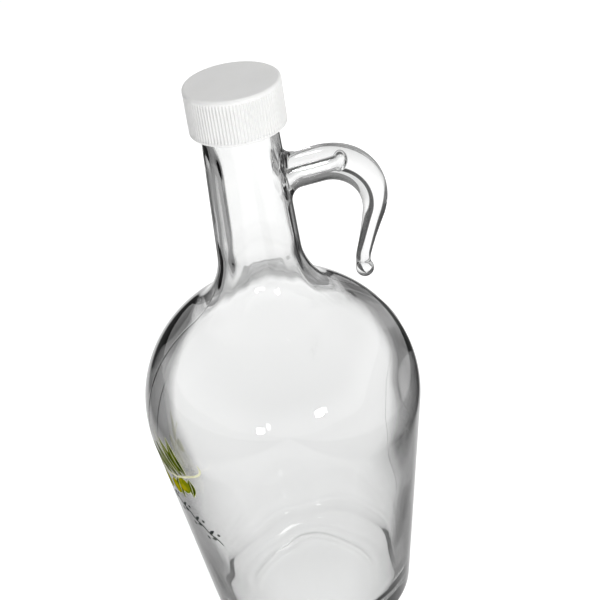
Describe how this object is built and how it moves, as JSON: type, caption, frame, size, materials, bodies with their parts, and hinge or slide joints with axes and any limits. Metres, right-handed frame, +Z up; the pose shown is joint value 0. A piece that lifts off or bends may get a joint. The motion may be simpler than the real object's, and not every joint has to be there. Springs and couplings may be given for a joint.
{
  "type": "oil bottle",
  "caption": "Clear glass bottle for table oil: egg-shaped body, slim neck with an open hook handle, olive sprig print and a ribbed white screw cap. Empty.",
  "frame": {"origin": "centre of the foot, on the surface the bottle stands on", "axes": "+Z up along the axis of the body and neck, +X from the axis towards the handle, whose centre line lies in the plane Y = 0"},
  "size_m": [0.0908, 0.0908, 0.195],
  "materials": {
    "clear_glass": "clear flint glass, blown, smooth and slightly wavy",
    "white_plastic": "moulded white polypropylene, satin, with a fine grain on the flat top",
    "print": "fired-on enamel print, glossy, on the outside of the glass"
  },
  "bodies": {
    "root": {"bottle": "clear_glass", "cap": "white_plastic"}
  },
  "joints": []
}
